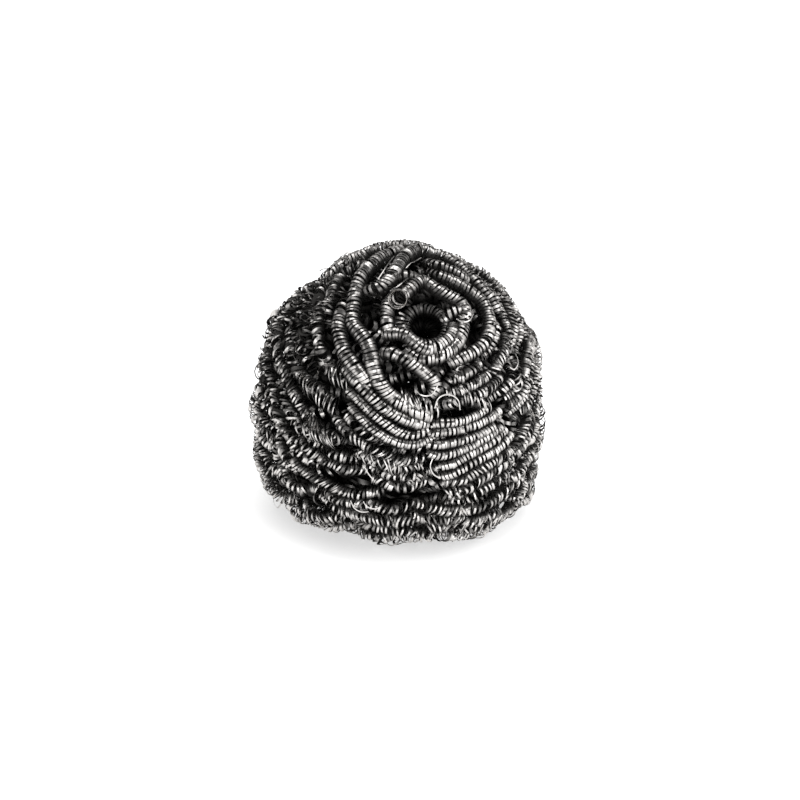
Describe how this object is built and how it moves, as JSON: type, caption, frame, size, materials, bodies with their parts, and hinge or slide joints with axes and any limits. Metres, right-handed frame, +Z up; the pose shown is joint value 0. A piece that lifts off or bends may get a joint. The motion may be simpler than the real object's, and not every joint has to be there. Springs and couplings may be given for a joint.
{
  "type": "steel wool roll",
  "caption": "Scouring roll wound into a round ball from one springy strand of coiled flat steel wire, with an open swirl at its crown and a flattened base to stand on.",
  "frame": {"origin": "middle of the flat base, on the surface that the roll stands on", "axes": "+Z up through the ball; the open heart of the swirl leans to the front, which looks along -Y, and a little to the right, +X"},
  "size_m": [0.0797, 0.079, 0.0726],
  "materials": {
    "drawn_steel": "bright drawn stainless flat wire, in tight springy turns"
  },
  "bodies": {
    "root": {"coiled_strand": "drawn_steel"}
  },
  "joints": []
}
